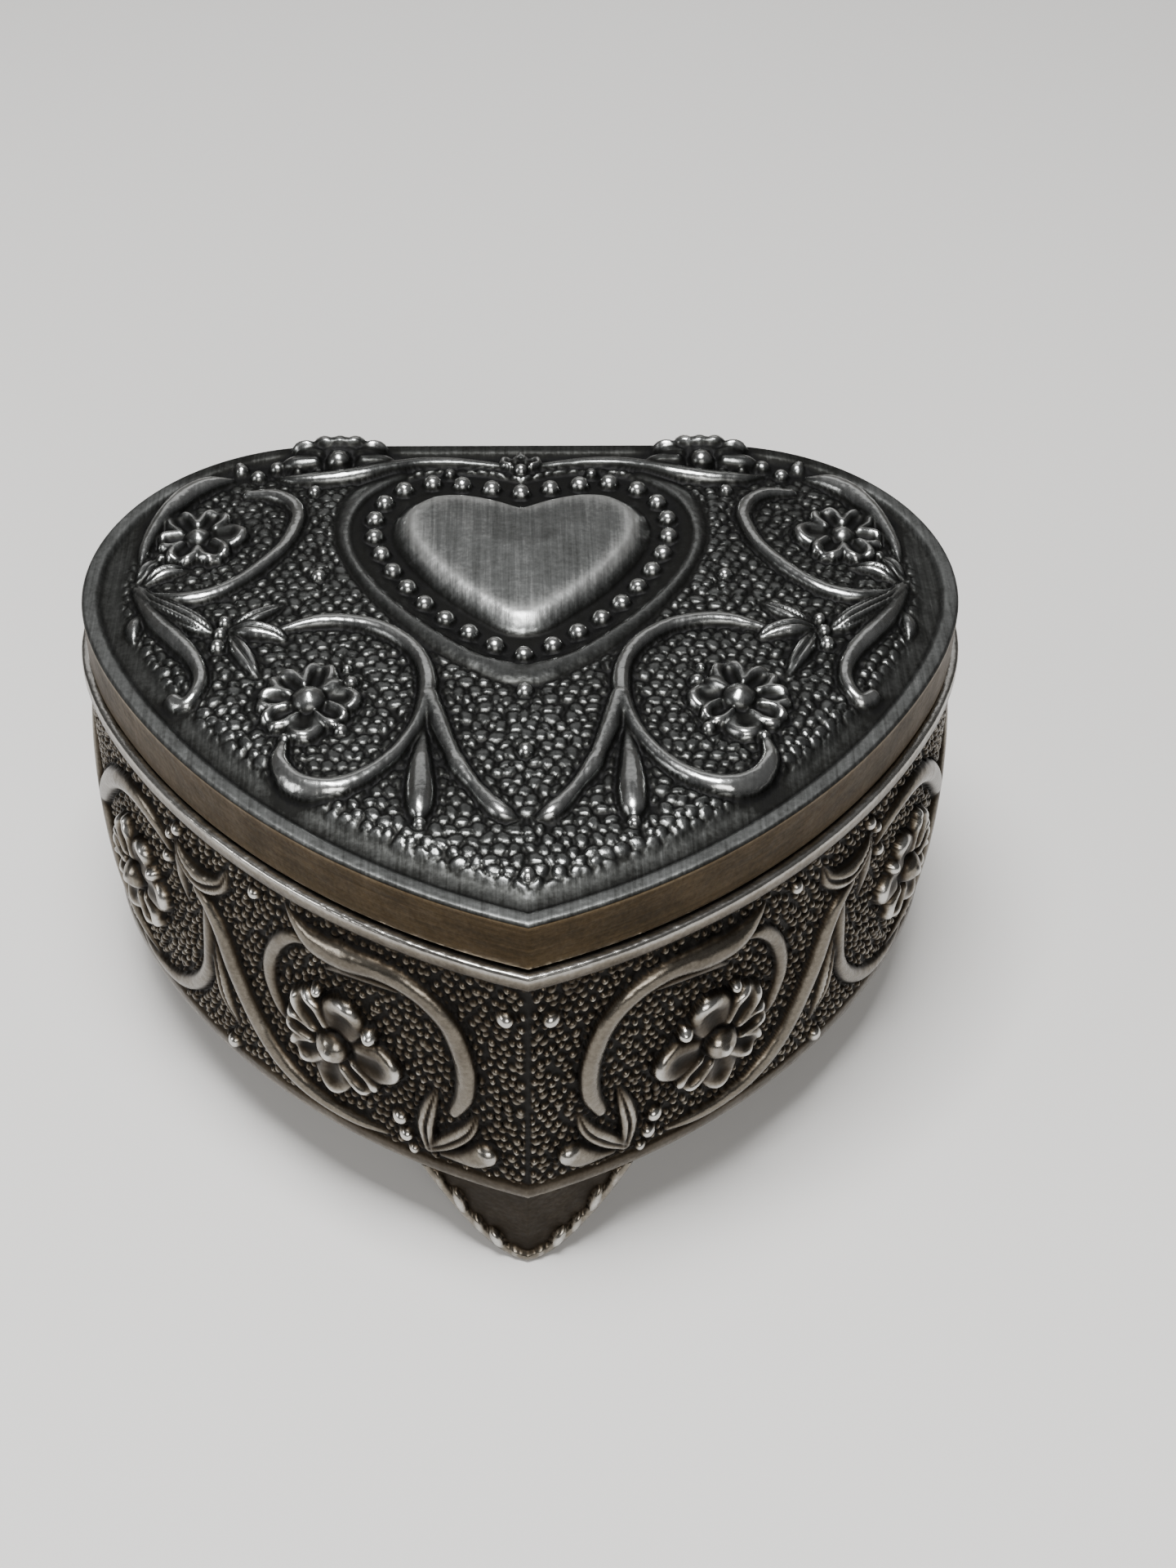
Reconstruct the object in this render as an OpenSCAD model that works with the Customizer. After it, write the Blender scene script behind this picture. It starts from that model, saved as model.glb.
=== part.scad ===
// Heart-shaped trinket box: a cast body on three bracket feet, a cast lid on a
// barrel hinge, and a velvet lining on card.
// +X is to the right, +Y to the hinge, +Z up. The feet stand on z = 0.

/* [Plan shape] */
// Direction of the side where it leaves the front point, in degrees from +X
point_heading = 18; // [14:1:24]
// Radius of the long side from the point
side_r = 72; // [66:1:80]
// Radius of the short shoulder after the side
shoulder_r = 42; // [36:1:50]
// Radius of the rear lobe
lobe_r = 24; // [20:1:27]

/* [Heights] */
// Height of the feet
foot_h = 11; // [8:0.5:14]
// Height of the body's wall
wall_h = 33.5; // [26:0.5:44]
// Height of the lid's plain band
band_h = 6; // [5:0.5:8]
// Gap between the body and the lid
seam_gap = 0.3; // [0.2:0.05:0.5]
// Rise of the lid's field above its border
field_rise = 1.8; // [1:0.1:3]

/* [Walls] */
// Thickness of the body's wall
wall_t = 2.2; // [1.8:0.1:3]
// Thickness of the lid's band
band_t = 1.8; // [1.4:0.1:2.2]
// Thickness of the lid's top under its field
lid_top_t = 2; // [1.6:0.1:2.4]
// How far the body's top rim stands out beyond the wall
rim_proud = 0.8; // [0.4:0.1:1]
// How far the body's bottom rim stands out beyond the wall
bottom_rim_proud = 0.4; // [0.3:0.1:0.8]
// Height of the body's top rim
top_rim_h = 2; // [1.5:0.1:3]
// Height of the body's bottom rim
bottom_rim_h = 1.8; // [1.2:0.1:3]
// Thickness of the base plate
plate_t = 1.2; // [1:0.1:1.6]

/* [Lid border and plaque] */
// Width of the lid's flat border
border_w = 1.8; // [1.2:0.1:2.4]
// Width of the smooth cove inside the border
cove_w = 4; // [3:0.5:5]
// Depth of the cove
cove_depth = 1.2; // [0.6:0.1:1.4]
// Distance from the heart's point to the plaque's point
plaque_from_point = 39; // [36:0.5:41]
// Radius of each lobe of the plaque
plaque_lobe_r = 6.6; // [5.5:0.1:7]
// Height of the plaque's lobe centres above its point
plaque_lobe_y = 17; // [14:0.1:18]
// Height of the plaque above the field
plaque_rise = 1.2; // [0.6:0.1:1.4]
// Radius of the beads round the plaque
bead_r = 0.95; // [0.7:0.05:1]
// Number of beads on each side, between the lowest and the notch bead
bead_count = 14; // [10:1:15]
// Radius of each flower's boss
boss_r = 1.5; // [1.2:0.1:2]
// Distance of the front flowers from the centre line
front_flower_x = 20.8; // [18:0.2:23]
// Distance of the front flowers from the heart's point, front to back
front_flower_y = 28.3; // [26:0.1:31]
// Distance of the side flowers from the centre line
side_flower_x = 34.3; // [30:0.2:35]
// Distance of the side flowers from the heart's point, front to back
side_flower_y = 56.3; // [54:0.1:58]

/* [Feet] */
// Reach of each wing of a foot from its middle
foot_reach = 12; // [8:0.5:13]
// Thickness of a foot
foot_t = 1.8; // [1.4:0.1:2.4]
// Half the width of a foot's flat sole
sole_half = 1.6; // [1:0.1:3]
// Direction of the rear feet round their lobe, in degrees from +X
rear_foot_angle = 35; // [25:1:45]

/* [Hinge] */
// Length of the hinge
hinge_l = 26; // [20:1:30]
// Number of knuckles
knuckles = 5; // [3:2:7]
// Outer radius of a knuckle
knuckle_r = 1.6; // [1.5:0.05:1.8]
// Radius of the hinge pin
pin_r = 0.8; // [0.7:0.05:0.85]
// Thickness of a hinge leaf
leaf_t = 0.8; // [0.6:0.05:0.9]
// Height of the lid's leaf
lid_leaf_h = 5; // [4:0.1:5.2]
// Height of the body's leaf
body_leaf_h = 8; // [6:0.5:10]
// Distance between a leaf's two rivets
rivet_gap = 16; // [12:1:18]

/* [Lining] */
// Thickness of the velvet on the wall
wall_velvet_t = 1.2; // [0.8:0.1:1.6]
// Thickness of the velvet on the floor
floor_velvet_t = 2; // [1.5:0.1:3]
// Thickness of the velvet in the lid
lid_velvet_t = 1.5; // [1:0.1:1.8]
// Thickness of the stiff card under the velvet
card_t = 1; // [0.8:0.1:1.2]

/* [Hidden] */

pewter = "#55585a";
worn_pewter = "#7d8183";
steel = "#9a9c9e";
card_brown = "#8b6a45";
velvet_red = "#6a0f1e";

fine = 120;
cut = 0.01;            // overlap that keeps a cut from leaving a skin
side_end = 61;         // headings where one arc hands over to the next
shoulder_end = 73;

// Heights of the main planes
wall_z = foot_h;
seam_z = wall_z + wall_h;
lid_z = seam_z + seam_gap;
top_z = lid_z + band_h;
floor_z = wall_z + plate_t;

// Centres of the three arcs, with the front point at the origin
side_c = [-side_r * sin(point_heading), side_r * cos(point_heading)];
shoulder_c = side_c + (side_r - shoulder_r) * [sin(side_end), -cos(side_end)];
lobe_c = shoulder_c + (shoulder_r - lobe_r) * [sin(shoulder_end), -cos(shoulder_end)];
plan_depth = lobe_c[1] + lobe_r;

// The hinge's own offsets from the flat back
axis_out = leaf_t + 1;
stop_reach = 2.4;      // the lid's stop lugs meet the body's leaf at 100 degrees
stop_h = 1.1;
hinge_out = axis_out + stop_reach;

// Shift that puts the middle of the whole object's depth on y = 0
tip_y = -(plan_depth + hinge_out + front_reach(rim_proud)) / 2 + front_reach(rim_proud);
back_y = tip_y + plan_depth;
axis_y = back_y + axis_out;
axis_z = seam_z + seam_gap / 2;

// Heading at which the side's arc meets the centre line once it is moved out by d
function start_heading(d) = asin(side_r * sin(point_heading) / (side_r + d));
// How far in front of the plan's own point an outline moved out by d reaches
function front_reach(d) = (side_r + d) * cos(start_heading(d)) - side_c[1];

// A point on a hand-over line, well outside the outline
function far(c, r, heading) = c + (r + 25) * [sin(heading), -cos(heading)];

// A point or an outline taken to the side s of the centre line, 1 or -1
function at_side(s, p) = [s * p[0], p[1]];
function all_at_side(s, points) =
    [for (i = [0 : len(points) - 1]) at_side(s, points[s > 0 ? i : len(points) - 1 - i])];

// Half of the heart-shaped plan moved out by d: three tangent arcs and a flat back
module half_plan(d, s) {
    intersection() {
        translate(at_side(s, side_c)) circle(r = side_r + d, $fn = fine);
        polygon(all_at_side(s, [[0, lobe_c[1]], [0, -20], far(side_c, side_r, side_end),
                                shoulder_c]));
    }
    intersection() {
        translate(at_side(s, shoulder_c)) circle(r = shoulder_r + d, $fn = fine);
        polygon(all_at_side(s, [shoulder_c, far(shoulder_c, shoulder_r, side_end),
                                far(shoulder_c, shoulder_r, shoulder_end), lobe_c]));
    }
    intersection() {
        translate(at_side(s, lobe_c)) circle(r = lobe_r + d, $fn = fine);
        polygon(all_at_side(s, [lobe_c, far(lobe_c, lobe_r, shoulder_end), [90, 90],
                                [lobe_c[0], 90]]));
    }
    polygon(all_at_side(s, [[0, lobe_c[1]], lobe_c, [lobe_c[0], lobe_c[1] + lobe_r + d],
                            [0, lobe_c[1] + lobe_r + d]]));
    polygon(all_at_side(s, [[0, lobe_c[1]], lobe_c, shoulder_c]));
}

module plan(d = 0) {
    translate([0, tip_y]) {
        half_plan(d, 1);
        half_plan(d, -1);
    }
}

// A solid slab of the plan from z0 to z1
module slab(d, z0, z1) {
    translate([0, 0, z0]) linear_extrude(z1 - z0) plan(d);
}

// A wall between two offsets of the plan
module ring(outer, inner, z0, z1) {
    difference() {
        slab(outer, z0, z1);
        slab(inner, z0 - 1, z1 + 1);
    }
}

// ---- body ----

module back_flat(z0, z1) {
    // the straight patch of the back where a hinge leaf lies flush against the wall
    translate([-hinge_l / 2 - 0.3, back_y, z0]) cube([hinge_l + 0.6, 3, z1 - z0]);
}

// Holes for a leaf's two rivets, or the rivets' shanks themselves
module rivet_shanks(z, y0, y1) {
    for (side = [-1, 1])
        translate([side * rivet_gap / 2, y0, z])
            rotate([-90, 0, 0]) cylinder(h = y1 - y0, r = rivet_r, $fn = fine);
}

rivet_r = 0.8;
rivet_head_r = 1.4;
rivet_head_h = 0.5;
rivet_depth = 1.5;
body_rivet_z = axis_z - 5;
lid_rivet_z = axis_z + 3.4;

module body_shell() {
    color(pewter)
    difference() {
        union() {
            slab(0, wall_z, seam_z);
            slab(rim_proud, seam_z - top_rim_h, seam_z);
            slab(bottom_rim_proud, wall_z, wall_z + bottom_rim_h);
        }
        slab(-wall_t, wall_z - 1, seam_z + 1);
        back_flat(axis_z - body_leaf_h - 0.3, seam_z + 1);
        rivet_shanks(body_rivet_z, back_y - rivet_depth, back_y + 1);
    }
}

module base_plate() {
    color(pewter) slab(-wall_t, wall_z, floor_z);
}

// ---- feet ----

// Edge of a foot seen face on: a narrow sole, then a full curve up to the wall
function foot_edge() = concat(
    [[sole_half, 0]],
    [for (i = [1 : 10]) let (t = 0.06 + 0.94 * i / 10)
        [foot_reach * pow(t, 0.6), foot_h * t]]);

module foot_face() {
    edge = foot_edge();
    polygon(concat(edge, [for (i = [len(edge) - 1 : -1 : 0]) [-edge[i][0], edge[i][1]]]));
}

// The face as a block reaching from `from` to `to` in front of the origin
module foot_block(from, to) {
    translate([0, -from, 0]) rotate([90, 0, 0]) linear_extrude(to - from) foot_face();
}

// The front foot wraps the point of the heart
module front_foot() {
    color(worn_pewter)
    intersection() {
        ring(-0.2, -0.2 - foot_t, 0, foot_h);
        translate([0, tip_y, 0]) foot_block(-20, 10);
    }
}

// A rear foot wraps the round of its lobe
module rear_right_foot() {
    color(worn_pewter)
    translate([lobe_c[0], tip_y + lobe_c[1], 0])
        rotate([0, 0, 90 + rear_foot_angle])
            intersection() {
                difference() {
                    rotate([0, 0, 90]) cylinder(h = foot_h, r = lobe_r - 0.2, $fn = fine);
                    rotate([0, 0, 90]) translate([0, 0, -1])
                        cylinder(h = foot_h + 2, r = lobe_r - 0.2 - foot_t, $fn = fine);
                }
                foot_block(5, lobe_r + 5);
            }
}

module rear_left_foot() {
    mirror([1, 0, 0]) rear_right_foot();
}

// ---- hinge ----

knuckle_l = hinge_l / knuckles;
knuckle_gap = 0.15;    // clearance between neighbouring knuckles
pin_clearance = 0.05;

// The knuckles with an even or an odd number, as plain cylinders of radius r
module barrels(first, r, spare = 0) {
    for (i = [first : 2 : knuckles - 1])
        translate([-hinge_l / 2 + i * knuckle_l + knuckle_gap / 2 - spare, axis_y, axis_z])
            rotate([0, 90, 0])
                cylinder(h = knuckle_l - knuckle_gap + 2 * spare, r = r, $fn = fine);
}

module pin_bore() {
    translate([-hinge_l / 2 - 1, axis_y, axis_z])
        rotate([0, 90, 0]) cylinder(h = hinge_l + 2, r = pin_r + pin_clearance, $fn = fine);
}

// Lugs on the lid's knuckles that stop it when it stands just past upright
module stop_lugs() {
    for (i = [1 : 2 : knuckles - 1])
        translate([-hinge_l / 2 + i * knuckle_l + 1, axis_y, axis_z - stop_h / 2])
            cube([knuckle_l - 2, stop_reach, stop_h]);
}

// A leaf: a flat plate, the knuckles that belong to it, and room for the others
module leaf(first, z0, z1, rivet_z) {
    color(steel)
    difference() {
        union() {
            difference() {
                translate([-hinge_l / 2, back_y, z0]) cube([hinge_l, leaf_t, z1 - z0]);
                barrels(1 - first, knuckle_r + 0.2, knuckle_gap);
            }
            barrels(first, knuckle_r);
            if (first == 1) stop_lugs();
        }
        pin_bore();
        rivet_shanks(rivet_z, back_y - 1, back_y + 2);
    }
}

module body_hinge_leaf() {
    leaf(0, axis_z - body_leaf_h, axis_z - 0.2, body_rivet_z);
}

module lid_hinge_leaf() {
    leaf(1, axis_z + 0.3, axis_z + lid_leaf_h, lid_rivet_z);
}

module rivets(z) {
    color(steel) {
        rivet_shanks(z, back_y - rivet_depth, back_y + leaf_t + cut);
        for (side = [-1, 1])
            translate([side * rivet_gap / 2, back_y + leaf_t, z])
                rotate([-90, 0, 0])
                    cylinder(h = rivet_head_h, r1 = rivet_head_r, r2 = 0.8 * rivet_head_r,
                             $fn = fine);
    }
}

module body_hinge_rivets() {
    rivets(body_rivet_z);
}

module lid_hinge_rivets() {
    rivets(lid_rivet_z);
}

module hinge_pin() {
    color(steel)
    translate([-hinge_l / 2 - 0.4, axis_y, axis_z])
        rotate([0, 90, 0]) cylinder(h = hinge_l + 0.8, r = pin_r, $fn = fine);
}

// ---- lid ----

field_z = top_z - cove_depth;
crown_z = top_z + field_rise;
under_z = field_z - lid_top_t + 0.6;
plaque_y = tip_y + plaque_from_point;
tiers = 4;

// Height and inset of each tier of the stepped field
function tier_z(i) = field_z + (crown_z - field_z) * (i + 1) / tiers;
function tier_inset(i) = border_w + cove_w + 1.5 * i;

// The plaque's outline: two round lobes on a pointed V
plaque_lobe_x = plaque_lobe_r * 0.93;
plaque_reach = norm([plaque_lobe_x, plaque_lobe_y]);
plaque_v = atan2(plaque_lobe_x, plaque_lobe_y) + asin(plaque_lobe_r / plaque_reach);
plaque_side = sqrt(plaque_reach * plaque_reach - plaque_lobe_r * plaque_lobe_r);

module plaque_shape() {
    flank = plaque_side * [sin(plaque_v), cos(plaque_v)];
    translate([0, plaque_y]) {
        for (side = [-1, 1])
            translate([side * plaque_lobe_x, plaque_lobe_y])
                circle(r = plaque_lobe_r, $fn = fine);
        polygon([[0, 0], flank, [0, plaque_lobe_y], [-flank[0], flank[1]]]);
    }
}

// Length of half the bead line, and the point at a distance s along it
bead_line = 3;
bead_arc_r = plaque_lobe_r + bead_line;
notch_turn = acos(plaque_lobe_x / bead_arc_r);
bead_side = plaque_side + bead_line / tan(plaque_v);
bead_turn = 180 + plaque_v - notch_turn;
bead_path = bead_side + bead_arc_r * bead_turn * PI / 180;
function bead_at(s) = s < bead_side
    ? [s * sin(plaque_v), s * cos(plaque_v) - bead_line / sin(plaque_v)]
    : let (a = -plaque_v + (s - bead_side) / bead_arc_r * 180 / PI)
      [plaque_lobe_x + bead_arc_r * cos(a), plaque_lobe_y + bead_arc_r * sin(a)];

module beads() {
    for (i = [0 : bead_count + 1])
        for (side = (i == 0 || i == bead_count + 1) ? [1] : [-1, 1]) {
            p = bead_at(bead_path * i / (bead_count + 1));
            translate([side * p[0], plaque_y + p[1], crown_z]) sphere(r = bead_r, $fn = fine);
        }
}

// Bosses of the two front flowers and of the two flowers in the side loops
module bosses() {
    for (side = [-1, 1]) {
        translate([side * front_flower_x, tip_y + front_flower_y, crown_z - 0.3])
            sphere(r = boss_r, $fn = fine);
        translate([side * side_flower_x, tip_y + side_flower_y, tier_z(0)])
            sphere(r = boss_r, $fn = fine);
    }
}

module lid_shell() {
    color(pewter)
    difference() {
        union() {
            difference() {
                slab(0, lid_z, top_z);
                slab(-border_w, field_z, top_z + 1);
            }
            for (i = [0 : tiers - 1])
                slab(-tier_inset(i), field_z - 0.5, tier_z(i));
            translate([0, 0, crown_z - 0.5])
                linear_extrude(plaque_rise + 0.5) plaque_shape();
            beads();
            bosses();
        }
        slab(-band_t, lid_z - 1, under_z);
        rivet_shanks(lid_rivet_z, back_y - rivet_depth, back_y + 1);
    }
}

// ---- lining ----

floor_card_z = floor_z + card_t;

module floor_card() {
    color(card_brown) slab(-wall_t - 0.2, floor_z, floor_card_z);
}

module floor_velvet() {
    color(velvet_red) slab(-wall_t - wall_velvet_t - 0.1, floor_card_z, floor_card_z + floor_velvet_t);
}

module wall_velvet() {
    color(velvet_red) ring(-wall_t, -wall_t - wall_velvet_t, floor_card_z, seam_z - 1);
}

module lid_card() {
    color(card_brown) slab(-band_t - 0.2, under_z - card_t, under_z);
}

module lid_velvet() {
    color(velvet_red)
        slab(-band_t - 0.4, under_z - card_t - lid_velvet_t, under_z - card_t);
}

body_shell();
base_plate();
front_foot();
rear_left_foot();
rear_right_foot();
body_hinge_leaf();
body_hinge_rivets();
hinge_pin();
floor_card();
floor_velvet();
wall_velvet();
lid_shell();
lid_hinge_leaf();
lid_hinge_rivets();
lid_card();
lid_velvet();
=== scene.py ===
"""Looks for the heart-shaped trinket box: cast relief, antiqued pewter, a hinge and a velvet lining.

Shapes are worked out in millimetres in the CAD frame and scaled to metres as each mesh is made.
"""

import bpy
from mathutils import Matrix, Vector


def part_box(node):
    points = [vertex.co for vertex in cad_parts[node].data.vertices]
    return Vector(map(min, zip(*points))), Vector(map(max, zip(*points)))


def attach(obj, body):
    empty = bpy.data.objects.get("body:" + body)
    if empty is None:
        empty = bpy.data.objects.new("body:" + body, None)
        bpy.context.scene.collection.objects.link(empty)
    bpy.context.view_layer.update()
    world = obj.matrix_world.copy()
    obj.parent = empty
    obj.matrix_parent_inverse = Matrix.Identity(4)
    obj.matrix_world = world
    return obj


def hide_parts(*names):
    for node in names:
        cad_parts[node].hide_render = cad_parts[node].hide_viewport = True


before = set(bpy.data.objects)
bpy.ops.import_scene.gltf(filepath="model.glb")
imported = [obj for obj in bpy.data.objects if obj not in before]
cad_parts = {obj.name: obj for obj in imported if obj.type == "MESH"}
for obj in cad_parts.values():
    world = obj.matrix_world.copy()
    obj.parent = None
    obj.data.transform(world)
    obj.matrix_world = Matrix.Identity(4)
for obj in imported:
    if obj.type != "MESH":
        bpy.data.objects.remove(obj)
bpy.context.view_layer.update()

import math

import bmesh
import bpy
import numpy as np
from mathutils import Vector
from mathutils.geometry import delaunay_2d_cdt

MM = 0.001

# ---- driving dimensions, as in the CAD ----

LID_LOW, LID_HIGH = [np.array(corner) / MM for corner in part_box("lid_shell")]
TIP_Y = LID_LOW[1]               # the front point of the heart
BACK_Y = LID_HIGH[1]             # the flat back
LID_Z = LID_LOW[2]               # underside of the lid's band
BAND_H = 6.0
TOP_Z = LID_Z + BAND_H           # the lid's flat border
BAND_T = 1.8
UNDER_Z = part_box("lid_card")[1][2] / MM
FOOT_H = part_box("body_shell")[0][2] / MM
SEAM_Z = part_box("body_shell")[1][2] / MM
WALL_T = 2.2
RIM_PROUD = 0.8                  # how far the body's upper rim stands out from the wall
LOW_RIM_PROUD = 0.4

POINT_HEADING = math.radians(18)     # how far the outline turns from straight across, at the point
ARCS = [(72.0, math.radians(61)), (42.0, math.radians(73)), (24.0, math.radians(180))]
LATTICE_REACH = 50.0                 # beyond the heart's half width


# ---- the heart-shaped outline ----

def arc_centres():
    """Centre of each arc of the right half, from the point to the flat back."""
    r = ARCS[0][0]
    centre = np.array([-r * math.sin(POINT_HEADING), TIP_Y + r * math.cos(POINT_HEADING)])
    out = [centre]
    for (r, end), (r_next, _) in zip(ARCS, ARCS[1:]):
        centre = centre + (r - r_next) * np.array([math.sin(end), -math.cos(end)])
        out.append(centre)
    return out


CENTRES = arc_centres()
ARC_LENGTHS = [r * (end - start) for (r, end), start in
               zip(ARCS, [POINT_HEADING, ARCS[0][1], ARCS[1][1]])]
FLAT_HALF = CENTRES[2][0]
HALF_LENGTH = sum(ARC_LENGTHS) + FLAT_HALF      # along the outline, from the point to the back


def on_outline(s, d, side=1):
    """Points a distance s along the outline and d outside it, mitred at the front point."""
    s, d = np.broadcast_arrays(np.asarray(s, float), np.asarray(d, float))
    x = FLAT_HALF - (s - sum(ARC_LENGTHS))
    y = np.full(s.shape, BACK_Y) + d
    start_s, start_h = 0.0, POINT_HEADING
    for i, ((r, end), centre, length) in enumerate(zip(ARCS, CENTRES, ARC_LENGTHS)):
        t = (s - start_s) / length
        first = np.arcsin(r * math.sin(POINT_HEADING) / (r + d)) if i == 0 else start_h
        h = first + (end - first) * t
        here = (s >= start_s - 1e-9) & (s <= start_s + length)
        x = np.where(here, centre[0] + (r + d) * np.sin(h), x)
        y = np.where(here, centre[1] - (r + d) * np.cos(h), y)
        start_s, start_h = start_s + length, end
    return side * x, y


def inset(x, y):
    """How far a point of the plan lies inside the outline."""
    x = np.abs(x)
    best = BACK_Y - y
    start = 0.0
    for (r, end), centre in zip(ARCS, CENTRES):
        heading = np.arctan2(x - centre[0], centre[1] - y)
        near = (heading >= start) & (heading <= end)
        best = np.where(near, np.minimum(best, r - np.hypot(x - centre[0], y - centre[1])), best)
        start = end
    return best


def outline_ring(s, d):
    """A closed ring of plan points, round the right half of the heart and back round the left."""
    x, y = on_outline(s, d)
    return np.vstack([np.c_[x, y], np.c_[-x[1:-1], y[1:-1]][::-1]])


def lattice(pitch):
    """Plan points in an even triangular lattice that covers the heart."""
    row_h = pitch * math.sqrt(0.75)
    across = int(LATTICE_REACH / pitch) + 1
    along = int(LATTICE_REACH / row_h) + 1
    i, j = np.meshgrid(np.arange(-across, across + 1), np.arange(-along, along + 1))
    return np.c_[((i + 0.5 * (j % 2)) * pitch).ravel(), (j * row_h).ravel()]


# ---- relief: heights over a plane of (u, v), in millimetres ----

def smooth(t):
    t = np.clip(t, 0, 1)
    return t * t * (3 - 2 * t)


def spline(points, steps=10):
    """A smooth curve through control points of any width (Catmull-Rom)."""
    p = np.array(points, float)
    p = np.vstack([2 * p[0] - p[1], p, 2 * p[-1] - p[-2]])
    t = np.linspace(0, 1, steps, endpoint=False)[:, None]
    parts = []
    for a, b, c, e in zip(p, p[1:], p[2:], p[3:]):
        parts.append(0.5 * (2 * b + (c - a) * t + (2 * a - 5 * b + 4 * c - e) * t ** 2
                            + (3 * b - a - 3 * c + e) * t ** 3))
    return np.vstack(parts + [p[-2:-1]])


GROOVE_DEPTH = 0.35              # as a part of the strand's height


class Relief:
    """A height over the plane, built up from strokes, petals and beads."""

    def __init__(self, u, v):
        self.u, self.v = u, v
        self.h = np.zeros(u.shape)

    def near(self, u0, u1, v0, v1):
        return np.nonzero((self.u > u0) & (self.u < u1) & (self.v > v0) & (self.v < v1))[0]

    def add(self, where, h, soft=0.12):
        """Union with a small fillet where two features meet."""
        old = self.h[where]
        k = np.clip(0.5 + 0.5 * (h - old) / soft, 0, 1)
        blend = old + (h - old) * k + soft * k * (1 - k)
        self.h[where] = np.where((h > 0) & (old > 0), np.maximum(blend, np.maximum(old, h)),
                                 np.maximum(old, h))

    def stroke(self, points, rise=0.95, grooves=0, form=0.5):
        """A rounded strand; each control point is (u, v, radius). Grooves run along it.

        A form of 0.5 gives a round section and more gives a low swell with soft edges.
        """
        path = spline(points)
        path[:, 2] = np.maximum(path[:, 2], 0.08)
        reach = path[:, 2].max()
        where = self.near(path[:, 0].min() - reach, path[:, 0].max() + reach,
                          path[:, 1].min() - reach, path[:, 1].max() + reach)
        pu, pv = self.u[where], self.v[where]
        height = np.zeros(len(where))
        for (ua, va, ra), (ub, vb, rb) in zip(path, path[1:]):
            du, dv = ub - ua, vb - va
            length = du * du + dv * dv + 1e-9
            t = np.clip(((pu - ua) * du + (pv - va) * dv) / length, 0, 1)
            r = ra + (rb - ra) * t
            across = ((pu - ua) * dv - (pv - va) * du) / np.sqrt(length)
            q = np.hypot(pu - ua - t * du, pv - va - t * dv) / r
            bump = rise * r * np.clip(1 - q * q, 0, 1) ** form
            if grooves:
                lines = np.cos(np.pi * (grooves + 1) * across / r) * (-1) ** grooves
                bump *= 1 - GROOVE_DEPTH * np.clip(-lines, 0, 1) * (q < 1)
            height = np.maximum(height, bump)
        self.add(where, height)

    def bead(self, u, v, r, rise):
        where = self.near(u - r, u + r, v - r, v + r)
        q = np.hypot(self.u[where] - u, self.v[where] - v) / r
        self.add(where, rise * r * np.sqrt(np.clip(1 - q * q, 0, 1)), soft=0.03)

    def petal(self, u, v, angle, length, width, rise, ribs):
        """A petal growing from (u, v): cupped, with a rounded end and ribs, or smooth and full."""
        where = self.near(u - length, u + length, v - length, v + length)
        du, dv = self.u[where] - u, self.v[where] - v
        a = math.radians(angle)
        t = (du * math.cos(a) + dv * math.sin(a)) / length
        across = -du * math.sin(a) + dv * math.cos(a)
        round_from = 0.62
        stem = 0.45 + 0.55 * np.clip(t / round_from, 0, 1) ** 0.8
        side = np.abs(across) / (0.5 * width * stem)
        past = np.clip(t - round_from, 0, None) / (1 - round_from)
        q = np.hypot(side, past)
        if ribs:
            spread = across / (0.5 * width * stem)
            rib = np.cos(np.pi * ribs * spread) * (-1) ** ribs
            q = q * (1 + 0.05 * (1 + rib) * smooth(past * 2))
            body = (0.55 + 0.45 * smooth(q / 0.8)) * (1 - 0.16 * (1 + rib))
            body = body * np.sqrt(np.clip(1 - np.clip(q, 0, 1) ** 5, 0, 1))
        else:
            body = np.sqrt(np.clip(1 - q * q, 0, 1))
        height = rise * np.where((t > 0.02) & (q < 1), body * smooth((t - 0.06) / 0.34), 0)
        self.add(where, height, soft=0.05)

    def flower(self, u, v, petals, boss, rise, boss_rise=1.0):
        """A flower round a boss; each petal is (angle, length, width, ribs)."""
        for angle, length, width, ribs in petals:
            self.petal(u, v, angle, length, width, rise, ribs)
        self.bead(u, v, boss, rise=boss_rise)
        self.bead(u, v, 0.7 * boss, rise=1.55 * boss_rise)


def pebbles(u, v, pitch, seed, fill=0.5, spread=0.26, flat=3.2, longest=0.35):
    """Heights from 0 to 1 of a seeded field of small rounded pebbles of uneven size."""
    rng = np.random.default_rng(seed)
    cells = 256
    table = rng.random((cells, cells, 5))
    row_h = pitch * math.sqrt(0.75)
    j0 = np.floor(v / row_h).astype(int)
    first = np.full(u.shape, 9.0)
    second = np.full(u.shape, 9.0)
    for dj in (-1, 0, 1):
        j = j0 + dj
        shift = 0.5 * (j % 2)
        i0 = np.floor(u / pitch - shift).astype(int)
        for di in (-1, 0, 1, 2):
            i = i0 + di
            r = table[i % cells, j % cells]
            cu = (i + shift + spread * (2 * r[..., 0] - 1)) * pitch
            cv = (j + spread * (2 * r[..., 1] - 1)) * row_h
            turn = np.pi * r[..., 2]
            du, dv = u - cu, v - cv
            along = du * np.cos(turn) + dv * np.sin(turn)
            aside = dv * np.cos(turn) - du * np.sin(turn)
            stretch = 1 + longest * r[..., 3]
            size = pitch * fill * (0.78 + 0.44 * r[..., 4])
            q = np.hypot(along / stretch, aside * math.sqrt(1 + longest / 2)) / size
            second = np.minimum(second, np.maximum(first, q))
            first = np.minimum(first, q)
    dome = np.sqrt(np.clip(1 - first ** flat, 0, 1))
    return dome * smooth((second - first) / 0.3 + 0.1)


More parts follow.
